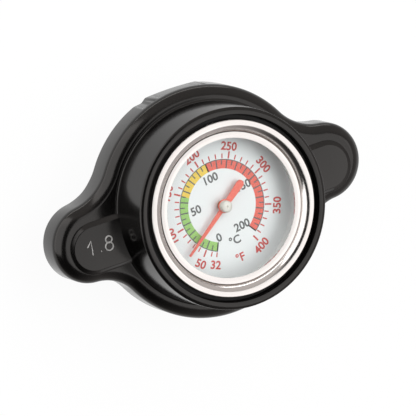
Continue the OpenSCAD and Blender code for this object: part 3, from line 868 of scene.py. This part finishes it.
def lettering(body, radius, direction, turn, bold):
    """A number or unit mark on the dial, centred at a radius and direction, as a mesh."""
    curve = bpy.data.curves.new("lettering", "FONT")
    curve.body = body
    curve.size = LETTER_SIZE * MM
    curve.align_x = "CENTER"
    curve.align_y = "CENTER"
    curve.resolution_u = 4
    curve.offset = bold * MM
    curve.extrude = (INK_HIGH - INK_LOW) / 2 * MM
    mesh = baked(bpy.data.objects.new("lettering", curve))
    points = [v.co for v in mesh.vertices]
    middle = Vector(((min(p.x for p in points) + max(p.x for p in points)) / 2,
                     (min(p.y for p in points) + max(p.y for p in points)) / 2, 0))
    a = math.radians(direction)
    goal = Vector((radius * math.cos(a), radius * math.sin(a), (INK_LOW + INK_HIGH) / 2)) * MM
    mesh.transform(Matrix.Translation(goal) @ Matrix.Rotation(math.radians(turn), 4, "Z")
                   @ Matrix.Translation(-middle))
    return mesh


# Each mark's radius is a share of the bezel's
LABEL_TURN, GREY_BOLD, UNIT_BOLD, RED_BOLD = 7.5, 0.065, 0.06, 0.07
printed("print_celsius_numbers", [
    lettering(body, BEZEL_R * r, direction, LABEL_TURN, GREY_BOLD) for body, r, direction in (
        ("0", 0.363, -111), ("50", 0.325, 172), ("100", 0.341, 98.8), ("150", 0.345, 24),
        ("200", 0.341, -58.7), ("°C", 0.431, -83.3))], grey_ink)

red_words = [lettering("°F", BEZEL_R * 0.64, -84.1, LABEL_TURN, UNIT_BOLD)]
for body, r, direction, quarter in (
        ("32", 0.675, -111.5, 90), ("50", 0.699, -127, 90), ("350", 0.683, -17.7, 90),
        ("400", 0.687, -59.6, 90), ("100", 0.690, fahrenheit(100), -90),
        ("150", 0.690, fahrenheit(150), -90), ("200", 0.680, fahrenheit(200), -90),
        ("250", 0.672, 67.7, -90), ("300", 0.674, 25.4, -90)):
    red_words.append(lettering(body, BEZEL_R * r, direction, direction + quarter, RED_BOLD))
printed("print_fahrenheit_numbers", red_words, red_ink)


# Works
# A brass stem brings the heat up to a bimetal coil, and the coil turns a steel spindle between
# two bushes. They are closed in by the case and the casting.
brass = material("brass", metal_paint((0.76, 0.56, 0.27), (0.62, 0.44, 0.20), 0.28))
for node in ("upper_bush", "lower_bush"):
    dress(node, brass)
dress("bimetal_coil", material("bimetal_strip", metal_paint((0.60, 0.42, 0.28), (0.46, 0.33, 0.24), 0.35)))
for node in ("coil_anchor", "spindle"):
    dress(node, stainless)
dress("stem_o_ring", black_rubber)
dress("sensor_stem", brass)


# Pointer
# Stamped from thin sheet and sprayed a matt salmon red: a fine needle, a disc over the spindle
# and a wide tail with a round end that balances it.
def pointer_paint(start):
    grain = noise(on_piece(start), 1800.0, 3.0)
    tone = between(grain, (0.78, 0.155, 0.115), (0.86, 0.20, 0.15))
    return start.node("ShaderNodeBsdfPrincipled", {}, {
        "Base Color": tone, "Roughness": grain * 0.15 + 0.42, "IOR": 1.4})


POINTER_DIR, POINTER_LOW, POINTER_T = 217.0, 26.3, 0.25
NEEDLE_LEN, ROOT_HALF, TIP_HALF = 13.2, 0.50, 0.24
TAIL_LEN, TAIL_HALF, TAIL_ROOT, DISC_R = 6.7, 0.86, 0.66, 1.5


def plate_shell(plan_points, low, high, edge):
    """A flat plate with a small rounded upper edge, from a plan that can be moved inwards."""
    rows = [[(x, y, low) for x, y in plan_points(0)]]
    for inset, z in arc(edge, high - edge, edge, 180, 90, 4):
        rows.append([(x, y, z) for x, y in plan_points(inset)])
    return capped_shell(rows)


def pointer_plan(inset):
    """The pointer's outline, turned to its direction at rest."""
    points = [(NEEDLE_LEN - inset, TIP_HALF - inset)]
    meet = math.degrees(math.asin(ROOT_HALF / DISC_R))
    tail_meet = math.degrees(math.asin(TAIL_ROOT / DISC_R))
    points += arc(0, 0, DISC_R - inset, meet, 180 - tail_meet, 18)
    points += arc(TAIL_HALF - TAIL_LEN, 0, TAIL_HALF - inset, 92, 268, 18)
    points += arc(0, 0, DISC_R - inset, 180 + tail_meet, 360 - meet, 18)
    points.append((NEEDLE_LEN - inset, inset - TIP_HALF))
    spin = Matrix.Rotation(math.radians(POINTER_DIR), 2)
    return [tuple(spin @ Vector(p)) for p in points]


pointer_shell = plate_shell(pointer_plan, POINTER_LOW, POINTER_LOW + POINTER_T, 0.06)
pointer = piece("needle", closed_mesh("needle", [pointer_shell]), material("salmon_paint", pointer_paint))
fitted(pointer, "pointer_set", "pointer")


# Pointer button
# A turned button with a low domed face and a small centre mark is pressed over the spindle and
# holds the pointer down.
def button_paint(start):
    turned = lathe_rings(from_axis(on_piece(start)), 7000.0, 2.0)
    tone = between(turned, (0.70, 0.67, 0.61), (0.80, 0.77, 0.71))
    return start.node("ShaderNodeBsdfPrincipled", {}, {
        "Base Color": tone, "Metallic": 0.35, "Roughness": turned * 0.1 + 0.30})


BUTTON_LOW, BUTTON_R, BUTTON_COLUMNS = 26.55, 1.3, 64
dome = [(r, BUTTON_LOW + rise) for r, rise in (
    (BUTTON_R, 0), (BUTTON_R, 0.92), (1.24, 1.03), (1.10, 1.12), (0.85, 1.19), (0.55, 1.24), (0.34, 1.26),
    (0.27, 1.22), (0.16, 1.02), (0.05, 0.98))]
turns = [2 * math.pi * k / BUTTON_COLUMNS for k in range(BUTTON_COLUMNS)]
button_rows = [[(r * math.cos(a), r * math.sin(a), z) for a in turns] for r, z in dome]
button = piece("pointer_button", closed_mesh("pointer_button", [capped_shell(button_rows)], 40),
               material("button_metal", button_paint))
fitted(button, "pointer_set", "pointer_hub")


# Valve carrier
# A hollow brass rivet hangs the valve under the shell and lets it turn. It holds a spring
# washer, a springy steel disc, the neck gasket and the brass guide tube.
rivet_section = [(2.75, 15.0, 0.15), (5.0, 15.0, 0.2), (5.0, 15.6, 0.1), (3.58, 15.6, 0.05),
                 (3.58, 17.85, 0.05), (5.0, 17.85, 0.1), (5.0, 18.45, 0.2), (2.75, 18.45, 0.15)]
turned_piece("rivet", [revolved(rivet_section, 96)], brass, "valve_carrier", "centre_rivet")
dress("spring_washer", stainless)
disc_section = [(3.59, 16.2, 0.03), (17.6, 16.2, 0.05), (17.6, 16.5, 0.05), (3.59, 16.5, 0.03)]
turned_piece("pressing_disc", [revolved(disc_section)], stainless, "valve_carrier", "seal_disc")
gasket_section = [(13.4, 15.4, 0.18), (17.8, 15.4, 0.18), (17.8, 16.2, 0.18), (13.4, 16.2, 0.1)]
turned_piece("flat_gasket", [revolved(gasket_section)], black_rubber,
             "valve_carrier", "neck_gasket")


EDGE_BREAK, CAD_SAME_PLACE = 0.10, 0.001


def refined(name, node, surface, body):
    """A copy of a CAD node with merged points, smooth round faces and broken edges."""
    work = bmesh.new()
    work.from_mesh(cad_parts[node].data)
    bmesh.ops.remove_doubles(work, verts=work.verts, dist=CAD_SAME_PLACE * MM)
    bmesh.ops.dissolve_limit(work, angle_limit=math.radians(1), verts=work.verts, edges=work.edges)
    mesh = bpy.data.meshes.new(name)
    work.to_mesh(mesh)
    work.free()
    mesh.shade_smooth()
    mesh.set_sharp_from_angle(angle=math.radians(35))
    made = piece(name, mesh, surface)
    edge = made.modifiers.new("broken_edges", "BEVEL")
    edge.width = EDGE_BREAK * MM
    edge.segments = 2
    edge.limit_method = "ANGLE"
    edge.angle_limit = math.radians(40)
    fitted(made, body, node)


refined("guide_tube", "valve_guide", brass, "valve_carrier")


# Springs
# Both are wound from drawn steel wire. The main spring presses the valve onto its seat, and a
# fine one round the pin holds the vacuum valve shut.
spring_wire = material("spring_wire", metal_paint((0.58, 0.57, 0.55), (0.42, 0.41, 0.40), 0.25, 1.0, 2000.0))
flow, given, coil_sockets = grower("wire_spring", [
    ("Turns", "Float", 4.0), ("Radius", "Float", 0.01), ("Height", "Float", 0.01),
    ("Wire Radius", "Float", 0.001), ("Bottom", "Float", 0.0), ("Points", "Int", 200),
    ("Metal", "Material", None)])
coils = flow.tree
path = flow.node("GeometryNodeCurvePrimitiveLine", {}, {})
path = flow.node("GeometryNodeResampleCurve", {}, {"Curve": path, "Count": given["Points"]})
along = flow.node("GeometryNodeSplineParameter", {}, {}, "Factor")
turned_by = along * given["Turns"] * (2 * math.pi)
spot = flow.node("ShaderNodeCombineXYZ", {}, {
    "X": turned_by.maths("COSINE", turned_by) * given["Radius"],
    "Y": turned_by.maths("SINE", turned_by) * given["Radius"],
    "Z": along * given["Height"] + given["Bottom"]})
path = flow.node("GeometryNodeSetPosition", {}, {"Geometry": path, "Position": spot})
wire = flow.node("GeometryNodeCurvePrimitiveCircle", {}, {"Resolution": 12, "Radius": given["Wire Radius"]})
wire = flow.node("GeometryNodeCurveToMesh", {}, {"Curve": path, "Profile Curve": wire, "Fill Caps": True})
wire = flow.node("GeometryNodeSetShadeSmooth", {}, {"Geometry": wire})
wire = flow.node("GeometryNodeRealizeInstances", {}, {"Geometry": wire})
wire = flow.node("GeometryNodeSetMaterial", {}, {"Geometry": wire, "Material": given["Metal"]})
flow.node("NodeGroupOutput", {}, {"Geometry": wire})


def wound(name, body, node, turns, radius, wire_r, low, high, points):
    """A spring whose wire's middle runs from a low to a high level."""
    mesh = grown(name, coils, coil_sockets, {
        "Turns": turns, "Radius": radius * MM, "Height": (high - low) * MM, "Wire Radius": wire_r * MM,
        "Bottom": low * MM, "Points": points, "Metal": spring_wire})
    return fitted(piece(name, mesh, spring_wire), body, node)


main_spring = wound("valve_spring", "valve_carrier", "pressure_spring",
                    turns=4.5, radius=9.8, wire_r=0.9, low=4.15, high=15.25, points=217)
fine_spring = wound("pin_spring", "pressure_valve", "vacuum_spring",
                    turns=3.5, radius=2.3, wire_r=0.25, low=3.5, high=6.8, points=169)
# What is kept is the spring's length at rest less the valve's travel
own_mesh(main_spring)
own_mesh(fine_spring)


# Pressure valve
# A brass plate slides up into the guide against the main spring. A moulded rubber seal under
# it closes the neck's lower seat with its thick outer bead.
refined("valve_plate", "pressure_plate", brass, "pressure_valve")
seal_section = [(3.9, 1.7, 0.1), (9.5, 1.7, 0.5), (10.0, 0.0, 0.5), (13.75, 0.0, 0.6), (13.75, 2.4, 0.5),
                (3.9, 2.4, 0.05)]
turned_piece("valve_seal", [revolved(seal_section)], black_rubber,
             "pressure_valve", "pressure_seal")


# Vacuum valve
# A small brass disc closes the seal's middle from below. Its pin runs up through the plate and
# carries the fine spring under a washer.
refined("vacuum_disc", "vacuum_valve", brass, "vacuum_valve")
dress("vacuum_clip", stainless)
